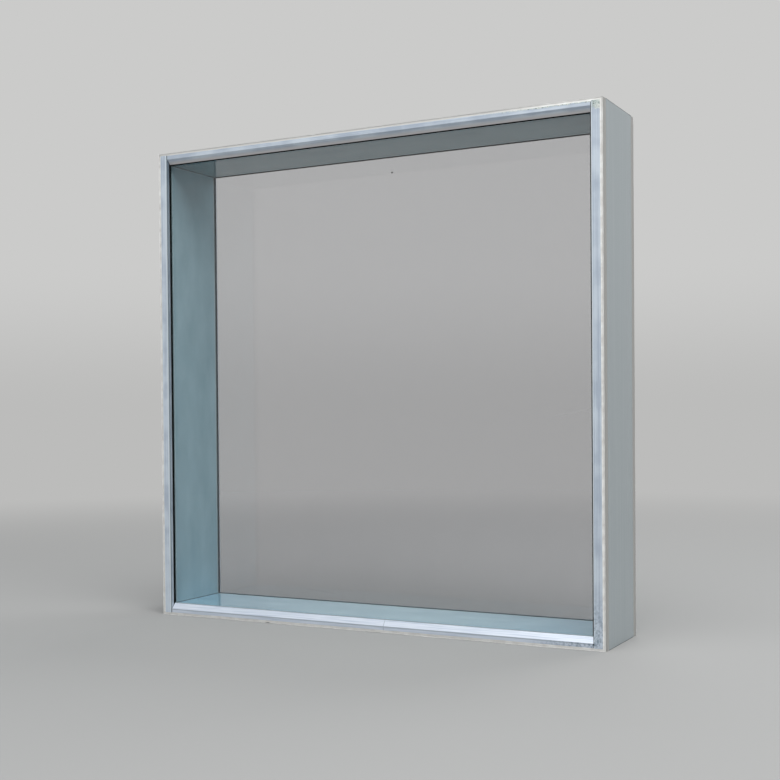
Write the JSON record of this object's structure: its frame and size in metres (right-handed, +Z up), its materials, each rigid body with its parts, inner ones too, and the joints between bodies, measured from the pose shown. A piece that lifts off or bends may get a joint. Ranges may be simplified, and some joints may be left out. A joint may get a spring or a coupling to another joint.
{
  "type": "flush-mount window",
  "caption": "Fixed double-pane window for a thick wall: square metal frame, splayed head and sill trims, black gaskets and a white sealant joint.",
  "frame": {"origin": "under the middle of the sill, halfway through the wall's thickness", "axes": "+Z up, -Y out of the front face, +X to the right as seen from the front"},
  "size_m": [0.8, 0.15, 0.8],
  "materials": {
    "trim_metal": "satin anodised, light blue-grey",
    "liner_metal": "glossy blue-grey powder coat",
    "clear_glass": "clear float glass",
    "black_rubber": "black gasket",
    "white_sealant": "white silicone, tooled by hand",
    "packer_rubber": "black setting block"
  },
  "bodies": {
    "root": {"front_head_gasket": "black_rubber", "front_head_sealant": "white_sealant", "front_head_trim": "trim_metal", "front_left_gasket": "black_rubber", "front_left_sealant": "white_sealant", "front_left_setting_block": "packer_rubber", "front_left_trim": "trim_metal", "front_pane": "clear_glass", "front_right_gasket": "black_rubber", "front_right_sealant": "white_sealant", "front_right_setting_block": "packer_rubber", "front_right_trim": "trim_metal", "front_sill_gasket": "black_rubber", "front_sill_sealant": "white_sealant", "front_sill_trim": "trim_metal", "head_liner": "liner_metal", "left_liner": "liner_metal", "rear_head_gasket": "black_rubber", "rear_head_sealant": "white_sealant", "rear_head_trim": "trim_metal", "rear_left_gasket": "black_rubber", "rear_left_sealant": "white_sealant", "rear_left_setting_block": "packer_rubber", "rear_left_trim": "trim_metal", "rear_pane": "clear_glass", "rear_right_gasket": "black_rubber", "rear_right_sealant": "white_sealant", "rear_right_setting_block": "packer_rubber", "rear_right_trim": "trim_metal", "rear_sill_gasket": "black_rubber", "rear_sill_sealant": "white_sealant", "rear_sill_trim": "trim_metal", "right_liner": "liner_metal", "sill_liner": "liner_metal"}
  },
  "joints": []
}
